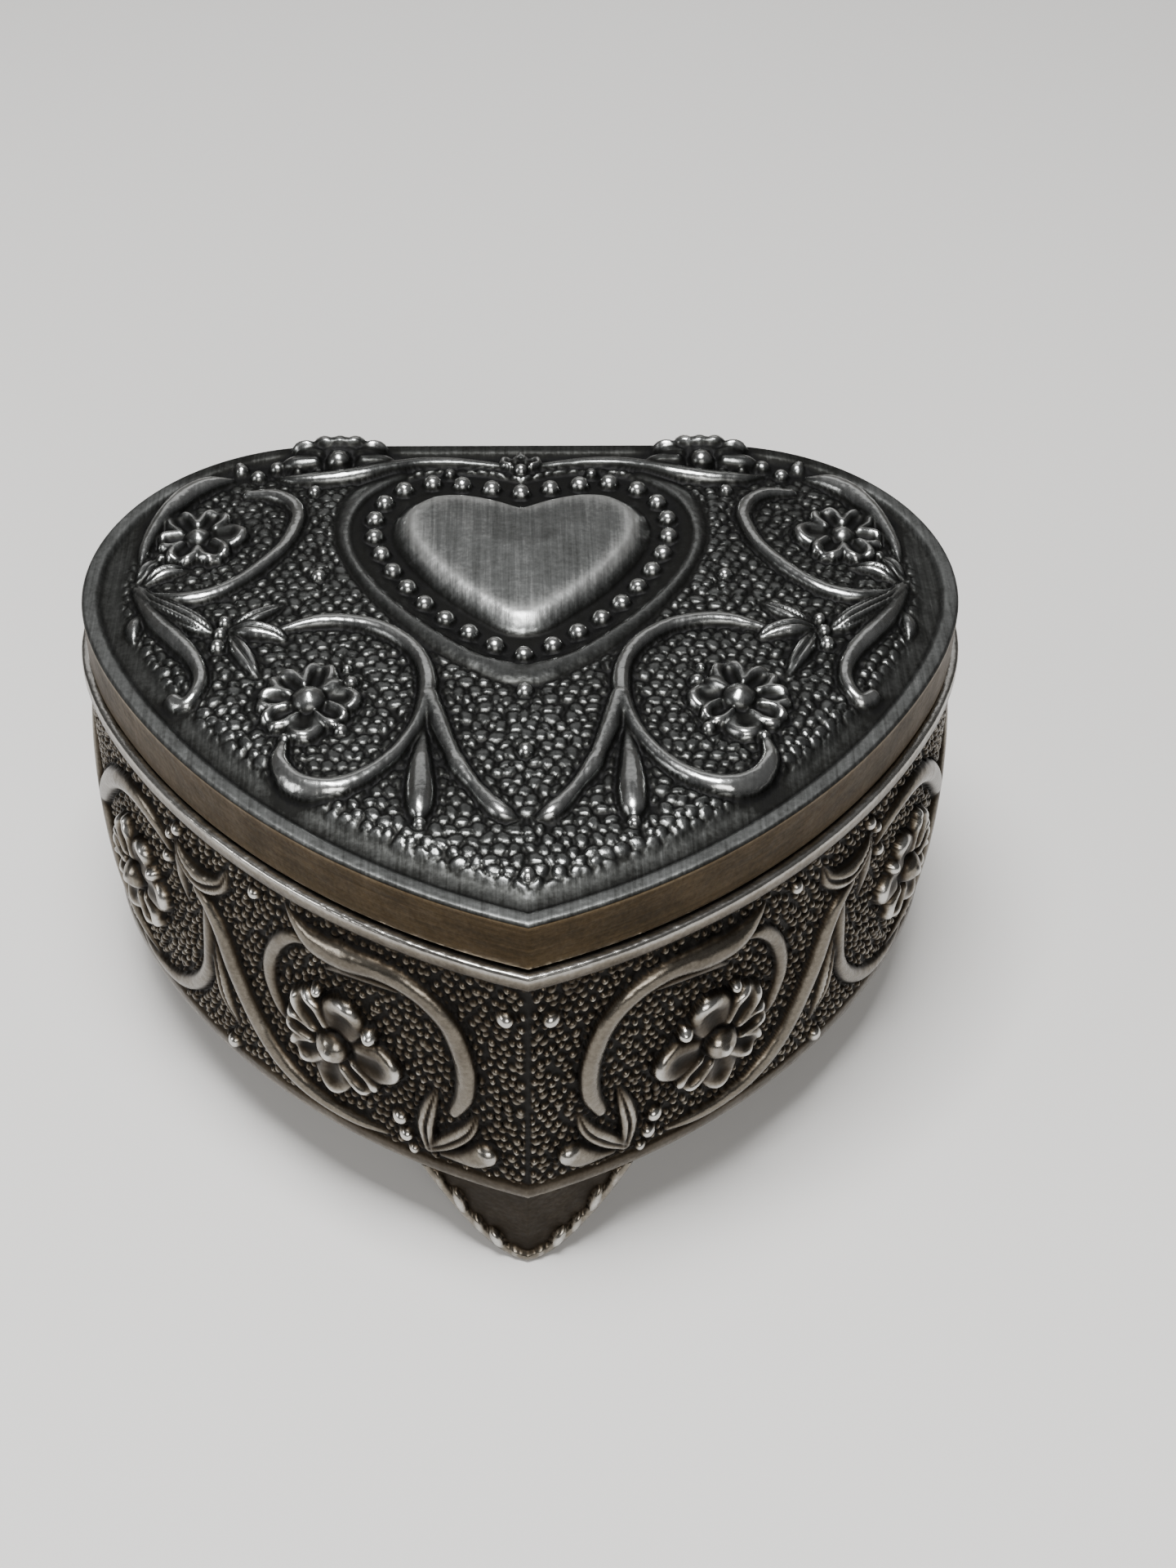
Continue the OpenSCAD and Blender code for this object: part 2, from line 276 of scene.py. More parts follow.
def relax(values, edges, rounds):
    """Values averaged over their neighbours a number of times."""
    count = len(values)
    degree = np.bincount(edges.ravel(), minlength=count) + 1.0
    out = values.copy()
    for _ in range(rounds):
        total = (np.bincount(edges[:, 0], out[edges[:, 1]], count)
                 + np.bincount(edges[:, 1], out[edges[:, 0]], count))
        out = (out + total) / degree
    return out


# ---- making meshes ----

def face_outwards(mesh):
    """Turns every face of a closed mesh outwards."""
    shell = bmesh.new()
    shell.from_mesh(mesh)
    bmesh.ops.recalc_face_normals(shell, faces=shell.faces)
    shell.to_mesh(mesh)
    shell.free()


def make_object(name, verts, faces, wear=None, satin=None):
    """A smooth-shaded object from millimetre vertices.

    wear is 0 in a recess and 1 on a worn edge; satin is 1 where the metal was brushed smooth.
    """
    mesh = bpy.data.meshes.new(name)
    mesh.from_pydata((np.asarray(verts) * MM).tolist(), [], faces)
    mesh.validate()
    face_outwards(mesh)
    mesh.shade_smooth()
    for key, values in (("wear", wear), ("satin", satin)):
        if values is not None:
            layer = mesh.attributes.new(key, "FLOAT", "POINT")
            layer.data.foreach_set("value", np.clip(values, 0, 1).astype(np.float32))
    obj = bpy.data.objects.new(name, mesh)
    bpy.context.scene.collection.objects.link(obj)
    return obj


def tube_faces(rows, columns):
    """Quads of a grid stored row by row, whose last row joins its first."""
    i, j = np.meshgrid(np.arange(rows), np.arange(columns - 1), indexing="ij")
    a = i * columns + j
    b = ((i + 1) % rows) * columns + j
    return np.stack([b, b + 1, a + 1, a], -1).reshape(-1, 4)


def tube_ends(rows, columns):
    """The two faces that close the grid's first and last columns."""
    first = np.arange(rows) * columns
    return [first.tolist(), (first + columns - 1).tolist()]


def edges_of(faces):
    """Each edge of an array of faces once, as pairs of vertices."""
    sides = [faces[:, [k, (k + 1) % faces.shape[1]]] for k in range(faces.shape[1])]
    return np.unique(np.sort(np.vstack(sides), 1), axis=0)


def triangulate(points, outer):
    """Triangles over plan points whose first `outer` points are the outline, in order."""
    loop = list(range(outer))
    result = delaunay_2d_cdt([Vector(p) for p in points], [], [loop], 1, 1e-6)
    return np.array([tuple(p) for p in result[0]]), np.array(result[2])


# ---- the lid ----

PLAQUE = [(0, .4), (2.0, 1.0), (4.6, 3.2), (8.2, 7.0), (11.4, 11.7), (13.2, 16.6), (12.8, 20.8),
          (10, 23.8), (6.5, 24.3), (2.9, 23.3), (0, 21.8)]
FRONT_FLOWER = (20.8, -9.8)
SIDE_FLOWER = (34.0, 17.4)
BACK_FLOWER = (19.8, 30.6)


def plaque_distance(x, y):
    """Distance inside the plaque's edge, negative outside it."""
    edge = spline([(u, v, 0) for u, v in PLAQUE], 8)[:, :2]
    x = np.abs(x)
    near = np.full(x.shape, np.inf)
    inside = np.zeros(x.shape, bool)
    for (ua, va), (ub, vb) in zip(edge, edge[1:]):
        du, dv = ub - ua, vb - va
        t = np.clip(((x - ua) * du + (y - va) * dv) / (du * du + dv * dv), 0, 1)
        near = np.minimum(near, np.hypot(x - ua - t * du, y - va - t * dv))
        if abs(dv) > 1e-9:
            inside ^= ((va > y) != (vb > y)) & (x < ua + (y - va) / dv * du)
    return np.where(inside, near, -near)


def bead_ring():
    """The beads round the plaque: one at its point, one in its notch, and a row each side."""
    ring = spline([(0, -3.1, 0), (3.2, -1.4, 0), (8.6, 3.4, 0), (12.6, 9.2, 0), (15.2, 15.4, 0),
                   (15.4, 21, 0), (13.2, 25.3, 0), (9.4, 27, 0), (5, 26.2, 0), (0, 24.9, 0)])
    length = np.r_[0, np.cumsum(np.hypot(*np.diff(ring[:, :2], axis=0).T))]
    at = np.linspace(0, length[-1], 16)
    return list(zip(np.interp(at, length, ring[:, 0]), np.interp(at, length, ring[:, 1])))


def plaque_surround(f):
    """A low ridge round the beads, and the scroll it joins at the back."""
    f.stroke([(-4.6, -3.4, 1.9), (0, -5.9, 1.9), (4.6, -3.4, 1.9), (8.8, .2, 1.9), (12.3, 4.8, 1.9),
              (15.5, 10.2, 1.9), (17.6, 15.8, 1.8), (18, 20.5, 1.7), (16.8, 25, 1.6),
              (13.6, 28.6, 1.5)], rise=0.26, form=0.9)
    f.stroke([(1, 29.6, .6), (4, 30.5, .8), (7.5, 31.1, .95), (11, 30.9, 1.05), (14, 29.8, 1.15),
              (17, 28.5, 1.2), (20.5, 27.8, 1.15), (24, 27.9, .9), (26.4, 28.6, .4)], rise=1.25)


def front_loop(f):
    """The front loop, its sprig and its bud."""
    f.stroke([(24.4, 1.5, .5), (20.7, 2.4, .95), (17, 2.1, 1.0), (13.8, .7, 1.0), (11.3, -1.7, 1.0),
              (9.9, -4.5, 1.0), (9.4, -7.5, 1.05), (9.6, -10.5, 1.05), (10.4, -13.4, .95),
              (12, -16.5, .9), (14.3, -19.2, 1.0), (17, -20.9, 1.15), (19.8, -21.2, 1.25),
              (22, -20, 1.25), (23.2, -17.7, 1.05), (23.1, -15.4, .7)], rise=1.15)
    f.stroke([(9.3, -9.5, 1.2), (8.3, -13, 1.15), (7.1, -16.6, .95), (6.3, -18.8, 1.05),
              (4.9, -21.2, .85), (3.6, -23.2, .95), (2.4, -24.6, 1.0), (1.1, -25.3, .4)], rise=1.1)
    f.stroke([(9.8, -12.4, .4), (9.8, -15.2, .7), (9.9, -18.4, 1.2), (9.9, -21.4, 1.5),
              (9.9, -23.6, 1.4), (9.9, -24.8, .9)], rise=1.0)
    f.bead(9.9, -25.8, .75, rise=1.1)


def loop_head(f):
    """Leaves at the head of the front loop, and the three beads behind them."""
    f.stroke([(29.2, 2.2, .5), (27.2, 3.4, 1.1), (25.4, 4.7, .8), (24.2, 5.7, .2)], grooves=1)
    f.stroke([(29.2, 1.6, .6), (27.2, 1.5, 1.3), (25.2, .9, 1.1), (23.9, .2, .5)], grooves=1)
    f.stroke([(29.2, .9, .5), (28.2, -1.3, 1.1), (27.1, -3.4, .9), (26, -5.6, .2)], grooves=1)
    for u, v, r in [(30, 3, .8), (30.3, 1.2, .8), (30.4, -.8, .9)]:
        f.bead(u, v, r, rise=1.35)


def side_loop(f):
    """Acanthus strands that run back to the side loop, and the loop."""
    f.stroke([(31, 1.5, .5), (33, 2.9, 1.4), (35.4, 4.7, 1.6), (37.6, 6.7, 1.3), (39.4, 9.4, .8)],
             rise=0.95, grooves=3)
    f.stroke([(39.4, 8.4, .6), (37.4, 4.4, 1.1), (35, 1, 1.2), (32.9, -2, 1.05), (31.8, -4.8, .9),
              (31.9, -7.1, .85), (33, -8.6, .9), (34.3, -7.9, .95)], rise=1.2)
    f.stroke([(38.7, 5.4, .3), (39.3, 3.5, .9), (39.1, 1.3, .3)])
    f.stroke([(38.3, 8.2, .6), (36, 7.3, .95), (33.5, 7.2, 1.05), (31, 8.1, 1.0), (28.5, 10.2, .95),
              (26.5, 12.7, .95), (24.9, 15.3, .95), (24, 18.3, .95), (23.7, 21, .95),
              (24.5, 23.4, 1.0), (26.5, 25.1, 1.0), (29.3, 25.6, .7)], rise=1.1)
    f.stroke([(39, 10.2, .4), (37, 11.9, 1.2), (34.4, 12.4, .3)], grooves=1)
    f.stroke([(39.6, 11, .4), (38.8, 12.9, 1.0), (37.6, 14.6, .3)], grooves=1)
    f.stroke([(31.4, 28.4, .5), (33.6, 27.4, 1.2), (35.6, 25.6, 1.4), (37.2, 23, 1.4),
              (38.5, 19.8, 1.15), (39.4, 16.6, .8), (39.7, 13.8, .3)], rise=1.25)


def lid_flowers(f):
    f.flower(*FRONT_FLOWER, [(102, 5.7, 4.4, 2), (50, 5.6, 4.2, 2), (6, 5.4, 4.2, 2),
                             (-36, 5.3, 4.2, 2), (-84, 5.5, 4.6, 1), (-138, 4.8, 3.8, 2),
                             (178, 5.2, 4.4, 1), (138, 4.4, 2.4, 0)],
             boss=2.0, rise=1.4)
    for u, v, r in [(16.9, -7, .85), (22.9, -14.6, .8), (17.6, -13.6, .8), (17.4, -4.9, .6)]:
        f.bead(u, v, r, rise=1.2)
    f.flower(*SIDE_FLOWER, [(55, 5.2, 4.4, 2), (115, 5.2, 4.4, 2), (178, 5.4, 4.8, 1),
                            (-125, 5, 4.4, 2), (-65, 4.8, 4.4, 2), (-8, 4.4, 4.2, 2)],
             boss=1.6, rise=1.5)
    for u, v, r in [(31.5, 20.6, .8), (36.9, 20.9, .8), (37.6, 14.6, .7), (31.6, 13.6, .7)]:
        f.bead(u, v, r, rise=1.2)
    for angle, length in [(0, 6.6), (29, 6.0), (60, 4.9), (90, 4.4), (120, 4.9), (151, 6.0),
                          (180, 6.6)]:
        f.petal(*BACK_FLOWER, angle, length, 2.9, rise=1.9, ribs=0)
    f.bead(*BACK_FLOWER, 1.7, rise=1.5)
    for u, v in [(15.4, 29.3), (17.6, 28.9), (22, 28.9), (24.2, 29.3)]:
        f.bead(u, v, .8, rise=1.5)
    for angle, length in ((90, 3.6), (45, 3.0), (135, 3.0)):
        f.petal(0, 28.9, angle, length, 2.2, rise=1.7, ribs=1)
    f.bead(0, 29, .9, rise=1.3)


def lid_beads(f):
    for u, v in bead_ring():
        f.bead(u, v, 1.12, rise=1.15)
    for u, v, r in [(0, -8.6, .95), (0, -16.8, .9), (0, -32, .75), (20.9, 10, .85), (7.7, 28.7, .8),
                    (22.2, 25.6, .85), (26.5, 30.4, 1.05), (28.5, 28.9, .95), (30.4, 30.2, .9)]:
        f.bead(u, v, r, rise=1.2)


def lid_relief(x, y):
    """Relief of the lid's field; both halves mirror one design."""
    f = Relief(np.abs(x), y)
    for part in (plaque_surround, front_loop, loop_head, side_loop, lid_flowers, lid_beads):
        part(f)
    return f.h


BORDER_W = 1.3                   # the flat border round the lid
LEDGE_W = 0.9                    # the step down from it
COVE_END = 6.2                   # where the hollow inside the border ends
FIELD_START = 2.7                # from here inwards the mesh is a lattice
DETAIL_START = 3.2               # and from here it is fine enough for pebbles
PLAQUE_PLAIN = 0.4               # inside the plaque's edge the mesh is coarse again
BAND_SATIN = 0.7
RING_DEPTHS = (0, .07, .16, .3, .6, 1.0, 1.3, 1.5, 1.62, 1.72, 1.85, 2.0, 2.2, 2.4, FIELD_START)
RING_S = np.linspace(0, HALF_LENGTH, int(HALF_LENGTH / 0.4) + 1)

# the lid's edge from its top, down the band and up inside: distance outside the outline, z, wear
SKIRT = [(0, TOP_Z - .42, .60), (0, TOP_Z - .8, .40), (0, TOP_Z - 2, .37), (0, TOP_Z - 3.5, .37),
         (0, LID_Z + 1, .39), (0, LID_Z + .35, .56), (-.08, LID_Z + .1, .60), (-.3, LID_Z, .40),
         (-BAND_T + .2, LID_Z, .40), (-BAND_T, LID_Z + .2, .40), (-BAND_T, LID_Z + 1, .20),
         (-BAND_T, UNDER_Z, .20)]


def lid_base(x, y, q):
    """The smooth form under the relief: flat border, hollow cove, low dome."""
    dome = TOP_Z - 0.5 + 2.1 * np.clip(1 - (x / 43) ** 2 - ((y + 1) / 38) ** 2, 0, 1)
    hollow = TOP_Z - 0.65
    ledge_end = BORDER_W + LEDGE_W
    cove = hollow + (dome - hollow) * smooth((q - ledge_end) / (COVE_END - ledge_end))
    bevel = 0.3 * np.clip(1 - q / 0.3, 0, 1) ** 2
    return TOP_Z - bevel + (cove - TOP_Z) * smooth((q - BORDER_W) / LEDGE_W)


def lid_points(fine=0.245, coarse=0.5):
    """Plan points of the lid's top: rings along the border, then a lattice to suit the relief."""
    rings = [outline_ring(RING_S, -depth) for depth in RING_DEPTHS]
    field = []
    for pitch in (fine, coarse):
        points = lattice(pitch)
        q = inset(points[:, 0], points[:, 1])
        p = plaque_distance(points[:, 0], points[:, 1])
        margin = 0.45 * pitch
        if pitch == fine:
            wanted = (q > DETAIL_START) & (p < PLAQUE_PLAIN)
        else:
            wanted = (q < DETAIL_START - margin) | (p > PLAQUE_PLAIN + margin)
        field.append(points[wanted & (q > FIELD_START + margin)])
    return np.vstack(rings + field), len(rings[0])


def lid_surface(x, y, q, p, edges):
    """Height of the lid's top, the relief in it, and where its ground is pebbled."""
    relief = lid_relief(x, y)
    crown = smooth((p + 0.25) / 2.1) * 1.25 + 0.45 * smooth(p / 11)
    channel = 0.35 * smooth((p + 5.2) / 0.8) * smooth(-p / 0.5)
    ground = smooth((q - 3.5) / 1.3) * smooth((-p - 4.6) / 0.5)
    covered = relax((relief > 0.02).astype(float), edges, 2)
    bumps = pebbles(x, y, 1.4, seed=11, fill=0.54) * ground * (1 - np.clip(2 * covered, 0, 1))
    z = lid_base(x, y, q) + crown - channel + np.maximum(relief, 0.34 * bumps)
    return z, relief, ground


def lid_wear(z, y, p, relief, ground, edges):
    """Worn where a point stands above what surrounds it, dark where it lies below, and darker towards
    the back.
    """
    small = z - relax(z, edges, 12)
    wide = z - relax(z, edges, 90)
    plain = np.clip(1 - ground - (relief > 0.05), 0, 1)
    cast = 0.45 + 1.35 * small + 0.26 * wide
    wear = cast * (1 - plain) + plain * (0.52 + 0.9 * small + 0.08 * wide)
    channel = smooth((p + 5.0) / 0.6) * smooth(-p / 0.4)
    # darker towards the back of the lid
    rear = smooth((y - 26.5) / 3)
    return wear + 0.09 * smooth(p / 0.8) - channel * np.where(relief < 0.3, 0.20, 0.13) - 0.22 * rear


def lid_skirt(start, outer):
    """The band, its rolled lower edge and the hollow underside, hung from the lid's first ring.

    That ring is vertices 0 to outer - 1, and the skirt's own vertices are numbered from start.
    """
    verts = [np.c_[outline_ring(RING_S, d), np.full(outer, z)] for d, z, _ in SKIRT]
    upper = np.arange(outer)
    strips = []
    for k in range(len(SKIRT)):
        lower = start + k * outer + np.arange(outer)
        strips.append(np.c_[upper, lower, np.roll(lower, -1), np.roll(upper, -1)])
        upper = lower
    wear = np.repeat([worn for _, _, worn in SKIRT], outer)
    return np.vstack(verts), np.vstack(strips).tolist() + [upper[::-1].tolist()], wear


def build_lid(materials):
    points, outer = lid_points()
    plan, top = triangulate(points, outer)
    x, y = plan[:, 0], plan[:, 1]
    q = inset(x, y)
    p = plaque_distance(x, y)
    edges = edges_of(top)
    z, relief, ground = lid_surface(x, y, q, p, edges)
    wear = lid_wear(z, y, p, relief, ground, edges)
    satin = smooth(p / 0.6) + 0.8 * smooth((COVE_END - 1.2 - q) / 1.2) * (relief < 0.05)
    skirt, skirt_faces, skirt_wear = lid_skirt(len(plan), outer)
    lid = make_object("lid_casting", np.vstack([np.c_[plan, z], skirt]), top.tolist() + skirt_faces,
                      np.r_[wear, skirt_wear], np.r_[satin, np.full(len(skirt), BAND_SATIN)])
    lid.data.materials.append(materials["pewter"])
    lid.data.materials.append(materials["band"])
    on_skirt = np.arange(len(lid.data.polygons)) >= len(top)
    lid.data.polygons.foreach_set("material_index", on_skirt.astype(np.int32))
    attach(lid, "lid")
    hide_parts("lid_shell")


# ---- the wall of the body ----

# Drawn over (distance along the outline from the front point, height), from the point to the side.

def wall_beads(f):
    for u, v, r in [(2.3, 37.8, 1.0), (30.1, 40.2, .85), (36.1, 13.5, .95), (13.7, 17.8, 1.0),
                    (13.1, 15.4, .95), (12.3, 13.4, .7), (41.8, 40.3, .85), (43.4, 38.5, .75),
                    (44.4, 34.6, .85)]:
        f.bead(u, v, r, rise=1.2)


def c_scroll(f):
    """The C scroll beside the point, with the leaf that grows along its head."""
    f.stroke([(7.6, 21.6, .8), (6.5, 24.6, 1.1), (6.3, 28.4, 1.2), (6.9, 31.8, 1.25),
              (8.1, 34.9, 1.3), (10.1, 37.2, 1.35), (12.7, 38.6, 1.4), (15.5, 39, 1.5),
              (19, 38.7, 1.8), (22.3, 38.7, 1.6), (24.6, 39.8, .9), (26, 41, .25)], rise=1.0)
    f.stroke([(13.5, 36.5, .4), (16, 36.7, .7), (19, 36.3, .75), (21.6, 35, .3)])
    f.stroke([(23.8, 37.6, .6), (25.6, 37, .85), (27.4, 35, .95), (28.6, 32.3, 1.0),
              (29, 29.7, 1.0), (28.7, 27.2, .9), (27.7, 25, .85), (26.2, 23.2, .4)])


def s_stem(f):
    """The S stem that crosses the wall, and its lance leaf."""
    f.stroke([(39.4, 33.9, .8), (37.3, 32.8, 1.15), (35.7, 30.3, 1.3), (34.5, 27, 1.4),
              (33, 23.5, 1.4), (31.1, 20, 1.4), (28.7, 17.2, 1.4), (25.7, 15.3, 1.3),
              (22.5, 14.4, 1.15), (19, 14, .95), (15.6, 14, .5)], rise=1.0)
    f.stroke([(37.9, 29, .3), (37.2, 24.5, .9), (36.4, 20.5, 1.1), (35.2, 16.4, .3)], grooves=1)


def crossing_stems(f):
    """The loop and the long stem that cross at the side."""
    f.stroke([(38.3, 31.5, .7), (38.4, 28.5, .9), (38.6, 25.5, 1.0), (39.2, 22.5, 1.0),
              (40.6, 19.5, 1.0), (42.7, 16.9, 1.0), (45.5, 14.9, 1.0), (49, 13.9, .95),
              (53, 13.8, .75), (56, 14.6, .3)])
    f.stroke([(44, 36, .6), (46, 38, 1.05), (49.5, 38.9, 1.25), (53, 38, 1.3), (56.5, 35.6, 1.35),
              (60, 31.8, 1.35), (64.4, 26.2, 1.35), (68, 21.6, 1.35), (71.5, 18, 1.15),
              (75, 15.6, .85), (79, 14.4, .4)], rise=0.95)


def wall_leaves(f):
    """Leaves at the foot of the C scroll, and the crescent leaf above the stems with its tail."""
    f.stroke([(10.5, 14.6, .8), (8.2, 16.9, 1.15), (6.2, 19.4, 1.0), (5.2, 22.1, .3)], grooves=1)
    f.stroke([(10.5, 14.6, .8), (10.8, 17.9, 1.15), (10.3, 21, 1.0), (9.5, 24, .3)], grooves=1)
    f.stroke([(4.5, 16.6, 1.55), (5.6, 15.6, 1.4), (7.4, 14.6, .8), (9.2, 14, .4)], rise=1.0)
    f.stroke([(34.1, 40, .25), (35.2, 37.6, 1.1), (38, 36.3, 1.7), (41, 36.9, 1.3),
              (42.8, 38.5, .3)], rise=0.85, grooves=1)
    f.stroke([(42, 36, .9), (42, 33.4, .8), (41.7, 30, .25)])


def wall_flowers(f):
    f.flower(21, 24.8, [(180, 8.0, 6.2, 1), (106, 7.8, 6.0, 1), (54, 7.2, 5.0, 2), (9, 6.2, 4.2, 2),
                        (-36, 6.5, 4.8, 2), (-88, 7.4, 5.2, 1), (-135, 6.8, 4.4, 2)],
             boss=2.15, rise=1.8, boss_rise=1.2)
    for u, v, r in [(16.6, 28.8, 1.05), (18.7, 27.3, .5), (22.6, 31.6, .8), (25, 27.4, .75)]:
        f.bead(u, v, r, rise=1.8)
    f.flower(52, 25.8, [(168, 7.0, 5.6, 1), (115, 7.0, 5.0, 1), (68, 7.0, 5.0, 2), (22, 6.1, 4.4, 2),
                        (-22, 6.2, 4.6, 2), (-70, 6.8, 4.8, 1), (-122, 6.5, 4.6, 2)],
             boss=2.0, rise=1.8, boss_rise=1.2)
    for u, v, r in [(47.8, 29.4, 1.0), (53.6, 32, .8), (56, 28.2, .75)]:
        f.bead(u, v, r, rise=1.8)


WALL_DESIGN = (wall_beads, c_scroll, s_stem, crossing_stems, wall_leaves, wall_flowers)

HINGE_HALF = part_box("body_hinge_leaf")[1][0] / MM + 0.2
HINGE_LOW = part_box("body_hinge_leaf")[0][2] / MM - 0.2
RIM_LOW_TOP = FOOT_H + 2.0
RIM_HIGH_BASE = SEAM_Z - 2.1


def body_section(pitch=0.21):
    """The body's section as (d, z): rows up the outside, then rows over the rim and down the inside."""
    lower_rim = [(.15, 0), (.32, .1), (LOW_RIM_PROUD, .3), (LOW_RIM_PROUD, .8), (LOW_RIM_PROUD, 1.3),
                 (.35, 1.55), (.2, 1.75), (.08, 1.9)]
    upper_rim = [(.12, 2.0), (.45, 1.88), (.72, 1.7), (RIM_PROUD, 1.45), (RIM_PROUD, .9),
                 (RIM_PROUD, .35), (.72, .1), (.5, 0)]
    outside = [(d, FOOT_H + up) for d, up in lower_rim]
    outside += [(0, z) for z in np.arange(RIM_LOW_TOP + 0.2, RIM_HIGH_BASE - 0.05, pitch)]
    outside += [(d, SEAM_Z - down) for d, down in upper_rim]
    inside = [(.1, SEAM_Z), (-.8, SEAM_Z), (-WALL_T + .3, SEAM_Z), (-WALL_T, SEAM_Z - .3)]
    inside += [(-WALL_T, SEAM_Z - down) for down in (1.1, 4.5, 14.5, 24.5)]
    inside += [(-WALL_T, FOOT_H), (-WALL_T + .2, FOOT_H), (-.8, FOOT_H)]
    return np.array(outside), np.array(inside)


def wall_stations():
    """Distances along the outline, a little closer in the front half of the wall."""
    front = np.linspace(0, HALF_LENGTH / 2, 322)
    rear = np.linspace(HALF_LENGTH / 2, HALF_LENGTH, 246)[1:]
    return np.r_[front, rear]


def wall_relief(s, z, field):
    """The quarter wall's design, and the same design in reverse from the side to the back."""
    relief = np.zeros(len(s))
    for u in (s, HALF_LENGTH - s):
        part = Relief(u[field], z[field])
        for draw in WALL_DESIGN:
            draw(part)
        relief[field] = np.maximum(relief[field], part.h)
    return relief


def under_hinge(s, z):
    """Where the back of the wall stays flat for the hinge's leaf."""
    x, _ = on_outline(s, 0)
    return (s > HALF_LENGTH / 2) & (x < HINGE_HALF) & (z > HINGE_LOW)


def body_wear(s, d, z, relief, pebbled, outside, edges):
    """Worn on the rims and the relief, dark in the ground, along the front corner and inside."""
    small = d - relax(d, edges, 10)
    wide = d - relax(d, edges, 70)
    wall = 0.20 + 1.4 * small + 0.42 * wide + 0.14 * np.clip(relief, 0, 1) - 0.16 * (s < 0.3)
    upper_rim = 0.44 + 0.34 * smooth((z - SEAM_Z + 1.2) / 0.7) + 0.3 * small
    wear = np.where(pebbled, wall, np.where(z > SEAM_Z - 2.2, upper_rim, 0.36 + small))
    wear[~outside & (z < SEAM_Z - 0.5)] = 0.2
    return wear


def build_half_body(name, side, seed, materials):
    """One half of the body's casting, closed at the centre plane."""
    outer_rows, inner_rows = body_section()
    rows = np.vstack([outer_rows, inner_rows])
    stations = wall_stations()
    s = np.tile(stations, len(rows))
    d, z = np.repeat(rows, len(stations), axis=0).T
    outside = np.arange(len(s)) < len(outer_rows) * len(stations)
    field = (z > RIM_LOW_TOP - 0.3) & (z < RIM_HIGH_BASE + 0.3) & outside
    flat = under_hinge(s, z) & outside
    relief = np.where(flat, 0, wall_relief(s, z, field))
    d = np.where(flat & (d > 0), 0, d)

    faces = tube_faces(len(rows), len(stations))
    if side < 0:
        faces = faces[:, ::-1]      # the mirror image winds the other way
    edges = edges_of(faces)
    covered = relax((relief > 0.02).astype(float), edges, 2)
    pebbled = field & (d < 0.05) & ~flat
    room = smooth((s - 0.2) / 0.25) * (1 - np.clip(2 * covered, 0, 1)) * pebbled
    bumps = 0.5 * room * pebbles(s, z, 1.14, seed, fill=0.39, spread=0.3, flat=2.3, longest=0.2)
    d = d + np.maximum(relief, bumps)

    x, y = on_outline(s, d, side)
    half = make_object(name, np.c_[x, y, z], faces.tolist() + tube_ends(len(rows), len(stations)),
                       body_wear(s, d, z, relief, pebbled, outside, edges))
    half.data.set_sharp_from_angle(angle=math.radians(80))
    finish_casting(half, "body_shell", materials["body"])


def finish_casting(casting, node, material):
    casting.data.materials.append(material)
    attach(casting, "box")
    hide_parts(node)


# ---- feet ----

FOOT_REACH = 12.0                # half a foot's length along the outline
FOOT_TRIM = 0.975                # the part of it that is deep enough to mesh
SOLE_HALF = 1.2
REAR_FOOT_S = 84.6               # a rear foot's middle, along the outline
FOOT_FACE = -0.2
FOOT_BACK = -2.0
ROLL_R = 0.65                    # the rolled lower edge

# knots in the rolled edge: distance from the foot's middle, distance above the edge, radius
KNOTS = [(3.4, 1.2, .95), (5.3, .9, .8), (7.4, 1.3, .9), (1.4, .9, .7), (9.6, .9, .7)]


def foot_edge(along):
    """Height of a foot's lower edge at a distance along the outline from its middle."""
    t = np.clip(np.abs(along) - SOLE_HALF, 0, None) / (FOOT_REACH - SOLE_HALF)
    return FOOT_H * t ** 1.5


def foot_surface():
    """A foot's face and back as a grid: distance from its middle, d, z and wear."""
    along = np.linspace(-FOOT_TRIM * FOOT_REACH, FOOT_TRIM * FOOT_REACH, 131)
    low = foot_edge(along)
    up = np.linspace(0, 1, 44)[:, None] ** 1.25
    face_z = low + (FOOT_H - low) * up
    above_edge = (face_z - low) / np.sqrt(1 + np.gradient(low, along) ** 2)
    roll = 0.55 * np.sqrt(np.clip(1 - (above_edge / ROLL_R - 1) ** 2, 0, 1))
    knots = Relief(np.abs(np.broadcast_to(along, face_z.shape)).ravel(), above_edge.ravel())
    for away, height, r in KNOTS:
        knots.bead(away, height, r, rise=0.95)
    lift = np.maximum(roll, knots.h.reshape(face_z.shape))
    face_d = FOOT_FACE + lift * smooth(above_edge / 0.2) - 0.25 * (1 - smooth(above_edge / 0.25))
    back_z = low + (FOOT_H - low) * np.linspace(1, 0, 8)[:, None]
    d = np.vstack([face_d, np.full(back_z.shape, FOOT_BACK)])
    z = np.vstack([face_z, back_z])
    wear = np.vstack([0.30 + 0.75 * lift, np.full(back_z.shape, 0.2)])
    return np.broadcast_to(along, z.shape), d, z, wear


def build_foot(name, node, middle, side, materials):
    """A curved bracket with a rolled, knotted edge; middle is its place along the outline."""
    along, d, z, wear = foot_surface()
    if middle == 0:
        x, y = on_outline(np.abs(along), d, np.where(along < 0, -1, 1))
    else:
        x, y = on_outline(middle + along, d, side)
    foot = make_object(name, np.c_[x.ravel(), y.ravel(), z.ravel()],
                       tube_faces(*z.shape).tolist() + tube_ends(*z.shape), wear.ravel())
    foot.data.set_sharp_from_angle(angle=math.radians(60))
    finish_casting(foot, node, materials["foot"])


# ---- the velvet lining ----

